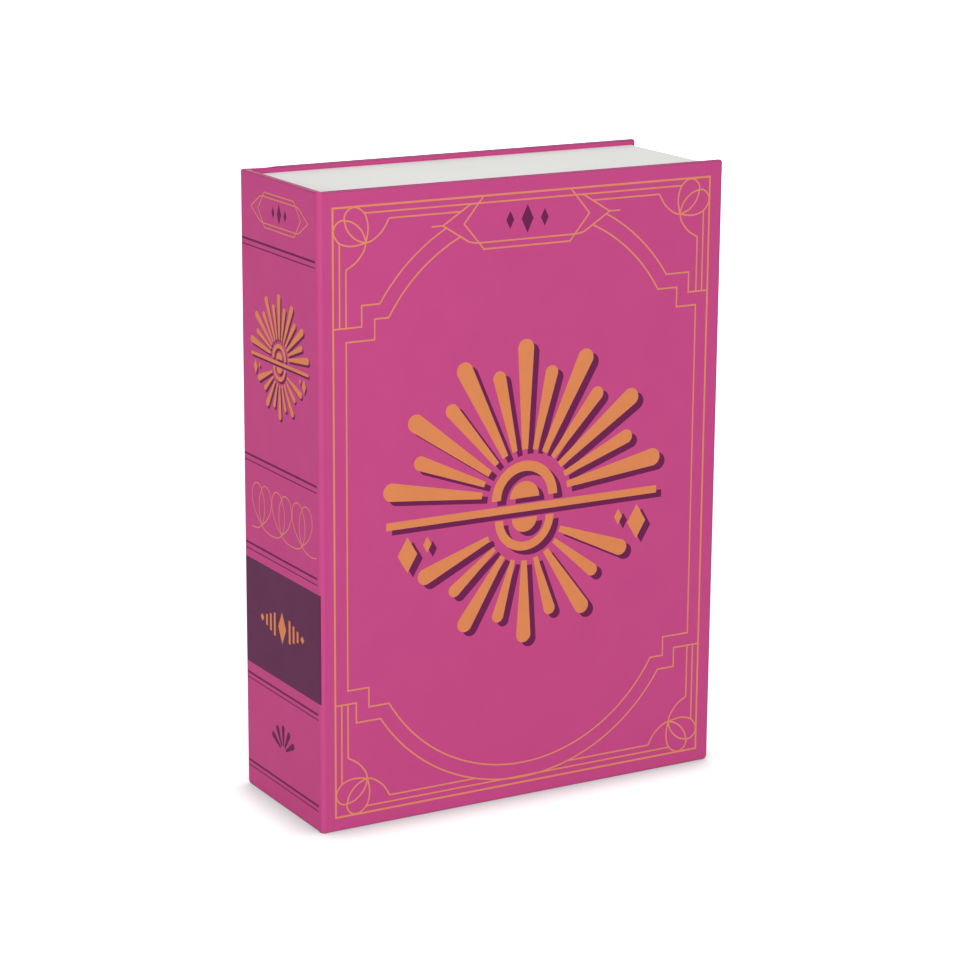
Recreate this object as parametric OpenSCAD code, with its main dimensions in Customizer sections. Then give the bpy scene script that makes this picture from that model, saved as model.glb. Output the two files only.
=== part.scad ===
// Book-shaped keepsake box, closed and standing on its tail edge.
// A tray of four walls is glued into a case of two covers and a spine.
// The front cover is the lid: the printed paper over the corner between
// spine and front cover is its hinge.
// Millimetres. Z is up, the spine faces -X and the front cover faces -Y.
// The origin is the middle of the footprint, on the table.

/* [Closed box] */
// Height, tail edge to head edge
box_h = 245; // [180:1:300]
// Width of the covers, spine to fore edge
box_w = 175; // [120:1:230]
// Thickness, front cover to back cover
box_d = 65; // [40:1:100]

/* [Covers and spine] */
// Grey board in both covers and in the spine
board_t = 2; // [1.5:0.1:3]
// Every paper: the printed cover paper, the linings and the page sheet
paper_t = 0.2; // [0.15:0.01:0.3]
// Width of the printed paper where it is turned in over the boards
turn_in = 15; // [8:1:22]
// Radius of the paper over the corner that works as the hinge
fold_r = 2; // [1.2:0.1:2.2]
// Rounding of the covers at head and fore edge
head_r = 1; // [0.5:0.1:4]
// Rounding of the covers at tail and fore edge
tail_r = 2; // [0.5:0.1:5]
// Rounding of the spine where it meets the back cover at the tail
heel_r = 2; // [0.5:0.1:2]
// Bare margin round the lining on the inside of the front cover
endpaper_margin = 3; // [1:0.5:6]

/* [Joint of the back cover] */
// Half of the width over which the paper dips between spine and back board
dip_half_w = 6; // [4.5:0.5:8]
// Radius of the paper where it leaves the boards for the dip
lip_r = 1.5; // [0.8:0.1:2]

/* [Tray] */
// Walls of the tray
wall_t = 6; // [5:0.5:9]
// Floor of the tray
floor_t = 2.5; // [1.5:0.1:5]
// How far the covers stand past the tray at head and tail
square = 2.2; // [1:0.1:4]
// How far the covers stand past the tray at the fore edge
fore_square = 1.5; // [1:0.1:4]
// Air between the rim of the tray and the closed front cover
lid_gap = 0.3; // [0.2:0.05:0.8]

/* [Catch] */
// Distance between the two magnets in the fore-edge wall
catch_pitch = 120; // [60:1:150]
// Radius of a magnet
magnet_r = 2; // [1.5:0.1:2.2]
// Thickness of a magnet
magnet_t = 3; // [2:0.5:5]
// Radius of a steel disc in the front board
disc_r = 3; // [2:0.1:3.5]
// Thickness of a steel disc
disc_t = 1; // [0.5:0.1:1.2]
// Gap round a magnet or disc in its bore
bore_gap = 0.05; // [0.02:0.01:0.1]

/* [Hidden] */
$fn = 64;
// How far a cutting shape reaches past what it cuts
cut = 1;
// Gap at the edges of sheets that are pasted in last
paste_gap = 0.05;

x_spine = -box_w / 2;
x_fore = box_w / 2;
y_front = -box_d / 2;
y_back = box_d / 2;

// Front cover, from its outer face inwards
y_board_out = y_front + paper_t;
y_board_in = y_board_out + board_t;
y_turn_in = y_board_in + paper_t;
y_lid_in = y_turn_in + paper_t;
lid_x = x_spine + fold_r;

// Spine, from its outer face inwards
spine_board_x = x_spine + paper_t;
spine_in_x = spine_board_x + board_t;
tray_x0 = spine_in_x + paper_t;

// Back cover, from its outer face inwards
back_board_out = y_back - paper_t;
back_board_in = back_board_out - board_t;
tray_back = back_board_in - paper_t;

// Dip of the paper between spine and back board: two lips and a trough
dip_x = spine_in_x + dip_half_w;
dip_depth = board_t;
trough_r = (pow(dip_half_w, 2) + pow(dip_depth, 2)) / (2 * dip_depth) - lip_r;
dip_angle = asin(dip_half_w / (trough_r + lip_r));
back_board_x = dip_x + dip_half_w;

// Tray
rim_y = y_lid_in + lid_gap;
wall_top = rim_y + paper_t;
floor_y = tray_back - floor_t;
tray_x1 = x_fore - fore_square;
tray_z0 = square;
tray_z1 = box_h - square;
wall_x1 = tray_x1 - paper_t;
wall_z0 = tray_z0 + paper_t;
wall_z1 = tray_z1 - paper_t;
inner_x0 = tray_x0 + wall_t;
inner_x1 = wall_x1 - wall_t;
inner_z0 = wall_z0 + wall_t;
inner_z1 = wall_z1 - wall_t;
lining_y = floor_y - paper_t;

// Catch
catch_x = wall_x1 - wall_t / 2;
catch_z = [box_h / 2 - catch_pitch / 2, box_h / 2 + catch_pitch / 2];

cover_pink = "#C04E86";
page_white = "#E4E3DF";
lining_plum = "#6A2C58";
board_grey = "#8F8A82";
fibre_tan = "#B08D62";
magnet_silver = "#B9BCC0";

// A box between two opposite corners
module span(low, high)
    translate(low)
        cube(high - low);

// A rectangle whose two corners on the far side are rounded
module edge_shape(a0, a1, b0, b1, r_top, r_low) {
    r_far = max(r_top, r_low);
    translate([a0, b0])
        square([a1 - a0 - r_far, b1 - b0]);
    translate([a0, b0 + r_low])
        square([a1 - a0, b1 - b0 - r_low - r_top]);
    translate([a1 - r_far - cut, b1 - r_top])
        square([r_far + cut - r_top, r_top]);
    translate([a1 - r_far - cut, b0])
        square([r_far + cut - r_low, r_low]);
    translate([a1 - r_top, b1 - r_top])
        circle(r_top);
    translate([a1 - r_low, b0 + r_low])
        circle(r_low);
}

// A flat sheet or board of a cover: it stands in X and Z, and y0 to y1 thick.
// edge_in is how far it lies inside the outline of the cover.
module cover_sheet(x0, y0, y1, edge_in)
    translate([0, y1, 0])
        rotate([90, 0, 0])
            linear_extrude(y1 - y0)
                edge_shape(x0, x_fore - edge_in, edge_in, box_h - edge_in,
                    head_r - edge_in, tail_r - edge_in);

// A flat sheet or board of the spine: it stands in Y and Z, and x0 to x1 thick
module spine_sheet(x0, x1, y0, edge_in)
    translate([x0, 0, 0])
        rotate([90, 0, 90])
            linear_extrude(x1 - x0)
                edge_shape(y0, y_back - edge_in, edge_in, box_h - edge_in,
                    head_r - edge_in, heel_r - edge_in);

// A disc or bore whose axis runs along Y
module disc_y(x, y0, y1, z, r)
    translate([x, y1, z])
        rotate([90, 0, 0])
            cylinder(h = y1 - y0, r = r);

// A part of a ring between two radii, cut to the angle from a0 to a1
module ring_part(r_in, r_out, a0, a1) {
    reach = 2 * r_out;
    middle = (a0 + a1) / 2;
    intersection() {
        difference() {
            circle(r_out);
            circle(r_in);
        }
        polygon([[0, 0], [reach * cos(a0), reach * sin(a0)],
            [reach * cos(middle), reach * sin(middle)],
            [reach * cos(a1), reach * sin(a1)]]);
    }
}

// Printed paper round one cover: outer face, three edges and turn-ins.
// It fills y_low to y_high but for the board, y_board0 to y_board1, and for
// the bare board between the turn-ins, y_bare0 to y_bare1.
module cover_paper(x0, y_low, y_high, y_board0, y_board1, y_bare0, y_bare1)
    difference() {
        cover_sheet(x0, y_low, y_high, 0);
        cover_sheet(x0 - cut, y_board0, y_board1, paper_t);
        span([x0 - cut, y_bare0, turn_in],
            [x_fore - turn_in, y_bare1, box_h - turn_in]);
    }

// Back cover and spine

module back_board()
    color(board_grey)
        cover_sheet(back_board_x, back_board_in, back_board_out, paper_t);

module back_wrap()
    color(cover_pink)
        cover_paper(back_board_x, tray_back, y_back, back_board_in, back_board_out,
            tray_back - cut, back_board_in);

module dip_profile() {
    translate([dip_x, y_back - dip_depth + trough_r])
        ring_part(trough_r, trough_r + paper_t, -90 - dip_angle, -90 + dip_angle);
    translate([dip_x - dip_half_w, y_back - lip_r])
        ring_part(lip_r - paper_t, lip_r, 90 - dip_angle, 90);
    translate([dip_x + dip_half_w, y_back - lip_r])
        ring_part(lip_r - paper_t, lip_r, 90, 90 + dip_angle);
}

// The half next to the spine is rounded at the tail like the spine itself
module back_joint_paper()
    color(cover_pink)
        intersection() {
            linear_extrude(box_h)
                dip_profile();
            union() {
                spine_sheet(x_spine, dip_x, y_front, 0);
                span([dip_x, y_front, 0], [x_fore, y_back, box_h]);
            }
        }

module spine_board()
    color(board_grey)
        spine_sheet(spine_board_x, spine_in_x, wall_top, paper_t);

module spine_wrap()
    color(cover_pink) {
        difference() {
            spine_sheet(x_spine, tray_x0, wall_top, 0);
            spine_sheet(spine_board_x, spine_in_x, wall_top - cut, paper_t);
            span([spine_in_x, y_front, turn_in], [tray_x0 + cut, y_back, box_h - turn_in]);
            span([spine_in_x, tray_back, -cut], [tray_x0 + cut, y_back + cut, box_h + cut]);
        }
        span([x_spine, y_front + fold_r, 0], [spine_board_x, wall_top, box_h]);
        // At head and tail, the turn-in goes over the end of the board too.
        for (z = [0, box_h - endpaper_margin])
            span([spine_board_x, rim_y, z], [tray_x0, wall_top, z + endpaper_margin]);
    }

// Tray

module tray_floor()
    color(fibre_tan)
        span([tray_x0, floor_y, wall_z0], [wall_x1, tray_back, wall_z1]);

module tray_head_wall()
    color(fibre_tan)
        span([tray_x0, wall_top, inner_z1], [wall_x1, floor_y, wall_z1]);

module tray_tail_wall()
    color(fibre_tan)
        span([tray_x0, wall_top, wall_z0], [wall_x1, floor_y, inner_z0]);

module tray_fore_edge_wall()
    color(fibre_tan)
        difference() {
            span([inner_x1, wall_top, inner_z0], [wall_x1, floor_y, inner_z1]);
            for (z = catch_z)
                disc_y(catch_x, wall_top - cut, wall_top + magnet_t, z,
                    magnet_r + bore_gap);
        }

module tray_spine_wall()
    color(fibre_tan)
        span([tray_x0, wall_top, inner_z0], [inner_x0, floor_y, inner_z1]);

module page_sheet()
    color(page_white)
        difference() {
            span([tray_x0, rim_y, tray_z0], [tray_x1, tray_back, tray_z1]);
            span([tray_x0 - cut, wall_top, wall_z0], [wall_x1, tray_back + cut, wall_z1]);
            span([inner_x0, rim_y - cut, inner_z0], [inner_x1, wall_top + cut, inner_z1]);
        }

module tray_magnets()
    color(magnet_silver)
        for (z = catch_z)
            disc_y(catch_x, wall_top, wall_top + magnet_t, z, magnet_r);

// Linings of the tray. The walls are lined first, and the sheet on the floor
// is cut to lie between them.

module floor_lining() {
    inset = paper_t + paste_gap;
    color(lining_plum)
        span([inner_x0 + inset, lining_y, inner_z0 + inset],
            [inner_x1 - inset, floor_y, inner_z1 - inset]);
}

module head_lining()
    color(lining_plum)
        span([inner_x0, rim_y, inner_z1 - paper_t], [inner_x1, floor_y, inner_z1]);

module tail_lining()
    color(lining_plum)
        span([inner_x0, rim_y, inner_z0], [inner_x1, floor_y, inner_z0 + paper_t]);

module fore_edge_lining()
    color(lining_plum)
        span([inner_x1 - paper_t, rim_y, inner_z0 + paper_t],
            [inner_x1, floor_y, inner_z1 - paper_t]);

module spine_side_lining()
    color(lining_plum)
        span([inner_x0, rim_y, inner_z0 + paper_t],
            [inner_x0 + paper_t, floor_y, inner_z1 - paper_t]);

// Hinge

module hinge_lining()
    color(lining_plum)
        span([spine_board_x, rim_y, endpaper_margin],
            [tray_x0, wall_top, box_h - endpaper_margin]);

module hinge_paper()
    color(cover_pink)
        translate([x_spine + fold_r, y_front + fold_r, 0])
            linear_extrude(box_h)
                ring_part(fold_r - paper_t, fold_r, 180, 270);

// Front cover

module front_board()
    color(board_grey)
        difference() {
            cover_sheet(lid_x, y_board_out, y_board_in, paper_t);
            for (z = catch_z)
                disc_y(catch_x, y_board_in - disc_t, y_board_in + cut, z,
                    disc_r + bore_gap);
        }

module front_wrap()
    color(cover_pink)
        cover_paper(lid_x, y_front, y_turn_in, y_board_out, y_board_in,
            y_board_in, y_turn_in + cut);

module front_endpaper()
    color(lining_plum) {
        span([lid_x, y_turn_in, endpaper_margin],
            [x_fore - endpaper_margin, y_lid_in, box_h - endpaper_margin]);
        span([lid_x, y_board_in, turn_in + paste_gap],
            [x_fore - turn_in - paste_gap, y_turn_in, box_h - turn_in - paste_gap]);
    }

module cover_discs()
    color(magnet_silver)
        for (z = catch_z)
            disc_y(catch_x, y_board_in - disc_t, y_board_in, z, disc_r);

back_board();
back_wrap();
back_joint_paper();
spine_board();
spine_wrap();
tray_floor();
tray_head_wall();
tray_tail_wall();
tray_fore_edge_wall();
tray_spine_wall();
page_sheet();
floor_lining();
head_lining();
tail_lining();
fore_edge_lining();
spine_side_lining();
tray_magnets();
hinge_lining();
hinge_paper();
front_board();
front_wrap();
front_endpaper();
cover_discs();
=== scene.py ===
# %% [markdown]
# # A box that looks like a book
# The real object is a box of board and paper: two covers and a spine, wrapped
# in one sheet of printed paper, with a tray glued in between. The tray's walls
# are faced with white paper, so that they look like the edges of the pages.
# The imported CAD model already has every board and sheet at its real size. It
# is loaded first and never changed. Blender then adds what CAD leaves out:
# rounded paper edges, the print, and the finish of every surface.
#
# CAD sizes are read from the nodes in millimetres, because paper, board and
# print are all made in millimetres, and turned into metres in one place.

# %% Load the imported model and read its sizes
import bpy
import math
from mathutils import Matrix, Vector
from mathutils.geometry import delaunay_2d_cdt


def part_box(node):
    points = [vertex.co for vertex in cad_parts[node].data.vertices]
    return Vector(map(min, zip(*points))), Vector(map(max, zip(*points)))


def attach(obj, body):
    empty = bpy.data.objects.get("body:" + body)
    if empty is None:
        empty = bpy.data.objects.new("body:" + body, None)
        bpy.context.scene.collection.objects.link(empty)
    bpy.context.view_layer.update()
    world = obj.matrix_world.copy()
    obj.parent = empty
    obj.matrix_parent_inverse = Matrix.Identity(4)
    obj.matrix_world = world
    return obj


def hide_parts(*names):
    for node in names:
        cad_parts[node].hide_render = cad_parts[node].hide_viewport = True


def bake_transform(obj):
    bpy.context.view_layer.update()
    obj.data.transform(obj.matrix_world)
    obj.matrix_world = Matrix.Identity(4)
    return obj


MM = 0.001
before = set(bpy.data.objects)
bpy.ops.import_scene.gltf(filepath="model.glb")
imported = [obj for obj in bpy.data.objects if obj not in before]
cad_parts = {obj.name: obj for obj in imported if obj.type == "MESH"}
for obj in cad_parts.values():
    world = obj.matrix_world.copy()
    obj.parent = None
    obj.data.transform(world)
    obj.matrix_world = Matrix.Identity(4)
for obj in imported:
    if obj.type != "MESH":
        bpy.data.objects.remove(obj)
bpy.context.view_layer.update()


def box_mm(node):
    """Lowest and highest corner of a CAD node, in millimetres."""
    low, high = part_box(node)
    return Vector(low) / MM, Vector(high) / MM


spine_low, spine_high = box_mm("spine_wrap")
front_low, front_high = box_mm("front_wrap")
back_low, back_high = box_mm("back_wrap")
joint_low, joint_high = box_mm("back_joint_paper")
board_low = box_mm("spine_board")[0]
page_low, page_high = box_mm("page_sheet")
end_low, end_high = box_mm("front_endpaper")

X_SPINE = spine_low.x
X_FORE = front_high.x
Y_FRONT = front_low.y
Y_BACK = back_high.y
HEIGHT = front_high.z
PAPER = board_low.x - spine_low.x
FOLD_R = front_low.x - X_SPINE
WIDTH = X_FORE - X_SPINE
DEPTH = Y_BACK - Y_FRONT
print("box", round(WIDTH, 2), "x", round(DEPTH, 2), "x", round(HEIGHT, 2), "mm")

# %% [markdown]
# ## Meshes from points in millimetres
# Every sheet here is a list of points and a list of faces. One helper turns
# them into a mesh, gives each face its material and decides which faces are
# smooth; a second one hangs the piece on the CAD body that carries it. A flat
# sheet keeps flat shading, and only its rounded edges are smooth, as on
# folded paper. An attribute on the points marks bends for wear and painted shade.

# %% Make a piece
def add_object(name, data):
    """An object of that mesh, lamp or camera, linked into the scene."""
    made = bpy.data.objects.new(name, data)
    bpy.context.scene.collection.objects.link(made)
    return made


def make_piece(name, points, faces, paints, paint_of, smooth_of, wear_and_shade_of=None):
    """A mesh object from points in mm. paints are materials, and paint_of and smooth_of hold one
    value a face. The last argument holds one value a point: 1 where a bend is most worn and most
    darkened by painted shade."""
    mesh = bpy.data.meshes.new(name)
    mesh.from_pydata([Vector(p) * MM for p in points], [], faces)
    for paint in paints:
        mesh.materials.append(paint)
    mesh.polygons.foreach_set("material_index", paint_of)
    mesh.polygons.foreach_set("use_smooth", smooth_of)
    # One value a point that drives both the wear of the bends and their painted shade.
    wear_and_shade = mesh.attributes.new("wear_and_shade", "FLOAT", "POINT")
    wear_and_shade.data.foreach_set("value", wear_and_shade_of or [0.0] * len(points))
    mesh.validate()
    mesh.update()
    return add_object(name, mesh)


def place(piece, body, slot, *nodes):
    """The piece moves with a CAD body and stands for CAD nodes."""
    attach(piece, body)
    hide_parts(*nodes)
    print(piece.name, "rides on", body, "-", len(piece.data.polygons), "faces")

# %% [markdown]
# ## Colours and nodes
# Colours are written as sRGB hex, as a printer or a colour picker gives them,
# and one function makes them linear, which is what a shader works in. One
# function adds a node with its settings and its links, so that a material
# reads as a list of what it is made of. The size of a noise is always given
# in millimetres of the real surface.

# %% Colour and node helpers
def linear(hex_colour):
    """sRGB hex to a linear RGBA tuple."""
    channels = [int(hex_colour[i:i + 2], 16) / 255 for i in (1, 3, 5)]
    return tuple(c / 12.92 if c <= 0.04045 else ((c + 0.055) / 1.055) ** 2.4
                 for c in channels) + (1.0,)


def add_node(tree, kind, values=None, links=None, **settings):
    """One node: settings are its properties, values its sockets' numbers, links where they come from."""
    made = tree.nodes.new(kind)
    for name, value in settings.items():
        setattr(made, name, value)
    for socket, value in (values or {}).items():
        made.inputs[socket].default_value = value
    for socket, source in (links or {}).items():
        tree.links.new(source, made.inputs[socket])
    return made


def new_material(name):
    """A new material, its node tree and the place on the object that its patterns start from."""
    material = bpy.data.materials.new(name)
    material.use_nodes = True
    tree = material.node_tree
    tree.nodes.clear()
    spot = add_node(tree, "ShaderNodeTexCoord").outputs["Object"]
    return material, tree, spot


def per_mm(size_mm):
    """The scale of a noise whose features are about size_mm, on coordinates in metres."""
    return 1 / (size_mm * MM)


print("the grey #808080 is", round(linear("#808080")[0], 3), "in linear light")

# %% [markdown]
# ## Printed paper with a matt film
# The cover is art paper, offset printed and laminated with a matt film, then
# pasted over the boards. The paste and the board below make it very slightly
# wavy. Where the sheet bends round an edge, its ink is darkened in the bend as
# painted shade, with paler spots where it gets rubbed. The film's IOR is that
# of plastic, 1.5, but its tooth breaks up nearly all of the mirror part, so the
# specular level is far below the usual 0.5, and the ink stays deep even where
# it is seen at a slant. The tooth is under 0.1 mm on the real sheet; it is
# drawn at 0.9 mm, because finer grain would vanish. Each ink is a material of
# its own, so that a face only has to name its ink.

# %% The colour of the ink
MOTTLE_MM = 14.0
SCUFF_MM = 7.0
RUBBED_INK = "#DE8DB4"
# The colour that bends are darkened towards: painted shade, not an ink on the sheet.
BEND_SHADE_INK = "#8E2D60"
BEND_SHADE_SHARE = 0.62


def ink_colour(tree, spot, mottle, ink, shade, rubbed):
    """The ink with its mottle, darkened in a bend as painted shade, and paler in the spots where a bend
    gets rubbed.
    """
    printed = add_node(tree, "ShaderNodeMix", {"A": linear(ink), "B": linear(shade)},
                       {"Factor": mottle}, data_type="RGBA")
    wear_and_shade = add_node(tree, "ShaderNodeAttribute", attribute_name="wear_and_shade")
    # The bend's value mixes in the darker colour: painted shade where the paper turns away from the
    # light.
    bend_shade_factor = add_node(tree, "ShaderNodeMath", {1: BEND_SHADE_SHARE}, {0: wear_and_shade.outputs["Fac"]},
                       operation="MULTIPLY")
    bend_shaded = add_node(tree, "ShaderNodeMix", {"B": linear(BEND_SHADE_INK)},
                      {"Factor": bend_shade_factor.outputs["Value"], "A": printed.outputs["Result"]},
                      data_type="RGBA")
    scuff = add_node(tree, "ShaderNodeTexNoise",
                     {"Scale": per_mm(SCUFF_MM), "Detail": 6.0, "Roughness": 0.7},
                     {"Vector": spot})
    scuff_spots = add_node(tree, "ShaderNodeMapRange",
                           {"From Min": 0.4, "From Max": 0.8, "To Max": rubbed},
                           {"Value": scuff.outputs["Fac"]})
    rubbing = add_node(tree, "ShaderNodeMath", None,
                       {0: wear_and_shade.outputs["Fac"], 1: scuff_spots.outputs["Result"]},
                       operation="MULTIPLY")
    colour = add_node(tree, "ShaderNodeMix", {"B": linear(RUBBED_INK)},
                      {"Factor": rubbing.outputs["Value"], "A": bend_shaded.outputs["Result"]},
                      data_type="RGBA")
    return colour.outputs["Result"]


print("a bend takes", BEND_SHADE_SHARE, "of the folded ink", BEND_SHADE_INK)

# %% The film over it
FILM_IOR = 1.5
FILM_ROUGHNESS = 0.46
FILM_SHEEN = 0.02
TOOTH_MM = 0.9
TOOTH_DEPTH_MM = 0.012
WAVE_MM = 38.0
WAVE_DEPTH_MM = 0.5


def film_bump(tree, spot):
    """The film's fine tooth on the long waves that the paste leaves."""
    tooth = add_node(tree, "ShaderNodeTexNoise", {"Scale": per_mm(TOOTH_MM), "Detail": 2.0},
                     {"Vector": spot})
    wave = add_node(tree, "ShaderNodeTexNoise", {"Scale": per_mm(WAVE_MM), "Detail": 1.0},
                    {"Vector": spot})
    tooth_bump = add_node(tree, "ShaderNodeBump",
                          {"Strength": 0.5, "Distance": TOOTH_DEPTH_MM * MM},
                          {"Height": tooth.outputs["Fac"]})
    wave_bump = add_node(tree, "ShaderNodeBump",
                         {"Strength": 0.6, "Distance": WAVE_DEPTH_MM * MM},
                         {"Height": wave.outputs["Fac"], "Normal": tooth_bump.outputs["Normal"]})
    return wave_bump.outputs["Normal"]


def laminated_print(name, ink, shade, rubbed=0.15):
    """Printed paper of one ink. shade is the same ink where it lies a little thicker, and rubbed
    is how far the paler spots in a bend go."""
    material, tree, spot = new_material(name)
    mottle = add_node(tree, "ShaderNodeTexNoise",
                      {"Scale": per_mm(MOTTLE_MM), "Detail": 4.0, "Roughness": 0.55},
                      {"Vector": spot}).outputs["Fac"]
    roughness = add_node(tree, "ShaderNodeMapRange",
                         {"To Min": FILM_ROUGHNESS - 0.05, "To Max": FILM_ROUGHNESS + 0.06},
                         {"Value": mottle})
    surface = add_node(tree, "ShaderNodeBsdfPrincipled",
                       {"IOR": FILM_IOR, "Specular IOR Level": FILM_SHEEN},
                       {"Base Color": ink_colour(tree, spot, mottle, ink, shade, rubbed),
                        "Roughness": roughness.outputs["Result"],
                        "Normal": film_bump(tree, spot)})
    add_node(tree, "ShaderNodeOutputMaterial", None, {"Surface": surface.outputs["BSDF"]})
    return material


print("the tooth is drawn at", TOOTH_MM, "mm and the waves at", WAVE_MM, "mm")

# %% The five inks
pink_print = laminated_print("pink laminated art paper", "#CB508B", "#C64B87")
orange_print = laminated_print("orange laminated art paper", "#E6915F", "#DE8754", 0.1)
plum_print = laminated_print("plum laminated art paper", "#732957", "#6B2551", 0.1)
line_print = laminated_print("pale orange laminated art paper", "#E4956B", "#DC8B61", 0.1)
panel_print = laminated_print("dark plum laminated art paper", "#693355", "#602F4F", 0.1)
PINK, ORANGE, PLUM, PALE_ORANGE, DARK_PLUM = range(5)
PRINT = [pink_print, orange_print, plum_print, line_print, panel_print]
print("inks:", [m.name for m in PRINT])

# %% [markdown]
# ## Uncoated papers
# The sheet that plays the pages is white offset paper, uncoated and matt. The
# tray and the inside of the lid are lined with plum-dyed paper. Both scatter
# light from fibres, so they are rough, with a soft bump. Paper fibres are
# about 0.03 mm wide and 1 to 2 mm long; they are drawn as 0.5 mm specks.

# %% Uncoated paper
FIBRE_MM = 0.5
CLOUD_MM = 22.0


def uncoated_paper(name, light, dark, roughness, fibre_depth_mm):
    """Matt paper whose colour clouds between light and dark, with a fibre bump."""
    material, tree, spot = new_material(name)
    cloud = add_node(tree, "ShaderNodeTexNoise",
                     {"Scale": per_mm(CLOUD_MM), "Detail": 6.0, "Roughness": 0.6},
                     {"Vector": spot})
    colour = add_node(tree, "ShaderNodeMix", {"A": linear(light), "B": linear(dark)},
                      {"Factor": cloud.outputs["Fac"]}, data_type="RGBA")
    fibre = add_node(tree, "ShaderNodeTexNoise",
                     {"Scale": per_mm(FIBRE_MM), "Detail": 3.0, "Roughness": 0.6},
                     {"Vector": spot})
    bump = add_node(tree, "ShaderNodeBump",
                    {"Strength": 0.6, "Distance": fibre_depth_mm * MM},
                    {"Height": fibre.outputs["Fac"]})
    surface = add_node(tree, "ShaderNodeBsdfPrincipled",
                       {"Roughness": roughness, "IOR": 1.45},
                       {"Base Color": colour.outputs["Result"],
                        "Normal": bump.outputs["Normal"]})
    add_node(tree, "ShaderNodeOutputMaterial", None, {"Surface": surface.outputs["BSDF"]})
    return material


page_paper = uncoated_paper("white uncoated offset paper", "#F3F3F0", "#ECECE9", 0.85, 0.03)
lining_paper = uncoated_paper("plum dyed lining paper", "#6B3159", "#5E2A4E", 0.75, 0.04)
print("papers:", page_paper.name, "and", lining_paper.name)

# %% [markdown]
# ## Boards and metal inside
# The covers are grey board, pressed from recycled fibre, and the tray is
# medium-density fibreboard. Both are speckled where they are cut. They are
# hidden by paper, but every CAD node gets its own finish all the same. The
# magnets and their counter discs are nickel plated, which is metallic, with a
# roughness of about 0.3 from the barrel that such small parts are plated in.

# %% Pressed fibre and plated steel
PLATING_MM = 0.6


def pressed_fibre(name, light, dark, speck_mm):
    """Board of pressed fibre, speckled light and dark."""
    material, tree, spot = new_material(name)
    specks = add_node(tree, "ShaderNodeTexNoise",
                      {"Scale": per_mm(speck_mm), "Detail": 8.0, "Roughness": 0.75},
                      {"Vector": spot})
    contrast = add_node(tree, "ShaderNodeMapRange", {"From Min": 0.3, "From Max": 0.7},
                        {"Value": specks.outputs["Fac"]})
    colour = add_node(tree, "ShaderNodeMix", {"A": linear(light), "B": linear(dark)},
                      {"Factor": contrast.outputs["Result"]}, data_type="RGBA")
    bump = add_node(tree, "ShaderNodeBump", {"Strength": 0.7, "Distance": 0.08 * MM},
                    {"Height": specks.outputs["Fac"]})
    surface = add_node(tree, "ShaderNodeBsdfPrincipled", {"Roughness": 0.9, "IOR": 1.45},
                       {"Base Color": colour.outputs["Result"],
                        "Normal": bump.outputs["Normal"]})
    add_node(tree, "ShaderNodeOutputMaterial", None, {"Surface": surface.outputs["BSDF"]})
    return material


def plated_steel(name, colour):
    """Nickel over steel, with a barrel-plated grain."""
    material, tree, spot = new_material(name)
    grain = add_node(tree, "ShaderNodeTexNoise", {"Scale": per_mm(PLATING_MM), "Detail": 4.0},
                     {"Vector": spot})
    roughness = add_node(tree, "ShaderNodeMapRange", {"To Min": 0.24, "To Max": 0.36},
                         {"Value": grain.outputs["Fac"]})
    surface = add_node(tree, "ShaderNodeBsdfPrincipled",
                       {"Base Color": linear(colour), "Metallic": 1.0},
                       {"Roughness": roughness.outputs["Result"]})
    add_node(tree, "ShaderNodeOutputMaterial", None, {"Surface": surface.outputs["BSDF"]})
    return material


grey_board = pressed_fibre("grey board", "#A09A90", "#7A756D", 1.4)
fibreboard = pressed_fibre("medium-density fibreboard", "#BE9A6C", "#9A7A50", 0.8)
nickel = plated_steel("nickel-plated steel", "#CFCBC4")
print("inside:", grey_board.name, "-", fibreboard.name, "-", nickel.name)

# %% Give the CAD nodes that stay their finish
KEPT = {
    grey_board: ["back_board", "spine_board", "front_board"],
    fibreboard: ["tray_floor", "tray_head_wall", "tray_tail_wall",
                 "tray_fore_edge_wall", "tray_spine_wall"],
    lining_paper: ["floor_lining", "head_lining", "tail_lining", "fore_edge_lining",
                   "spine_side_lining", "hinge_lining"],
    nickel: ["tray_magnets", "cover_discs"],
}
for finish, nodes in KEPT.items():
    for node in nodes:
        cad_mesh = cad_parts[node].data
        cad_mesh.materials.clear()
        cad_mesh.materials.append(finish)
    print(finish.name, "on", len(nodes), "nodes")

# %% [markdown]
# ## Drawing the print
# The print could be an image, but an image can't be sharp at every distance.
# It is drawn as flat shapes instead: thin rules become chains of four-sided
# pieces, and solid ornaments are closed outlines. All coordinates are
# millimetres on the flat face, u to the right and v up. The frame of rules,
# steps, arcs and loops and the fields of the spine lie where they are on the
# box. The large device, the lozenges, the bars and the small fan are plain
# ornaments in the manner of the 1920s, drawn to fill their fields.

# %% Lines, arcs and shapes
SHARPEST_MITRE = 0.3


def stroke(points, width, closed=False):
    """Four-sided pieces along a line of that width, mitred where the line turns."""
    count = len(points)
    sides = []
    for i in range(count):
        here = Vector(points[i])
        there = Vector(points[(i + 1) % count]) if closed or i < count - 1 else None
        came = Vector(points[i - 1]) if closed or i > 0 else None
        go = (there - here).normalized() if there is not None else None
        come = (here - came).normalized() if came is not None else go
        go = come if go is None else go
        turn = Vector((-come.y - go.y, come.x + go.x)).normalized()
        reach = width / 2 / max(turn.dot(Vector((-go.y, go.x))), SHARPEST_MITRE)
        sides.append((here - turn * reach, here + turn * reach))
    last = count if closed else count - 1
    pairs = [(sides[i], sides[(i + 1) % count]) for i in range(last)]
    return [[a[0], b[0], b[1], a[1]] for a, b in pairs]


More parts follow.
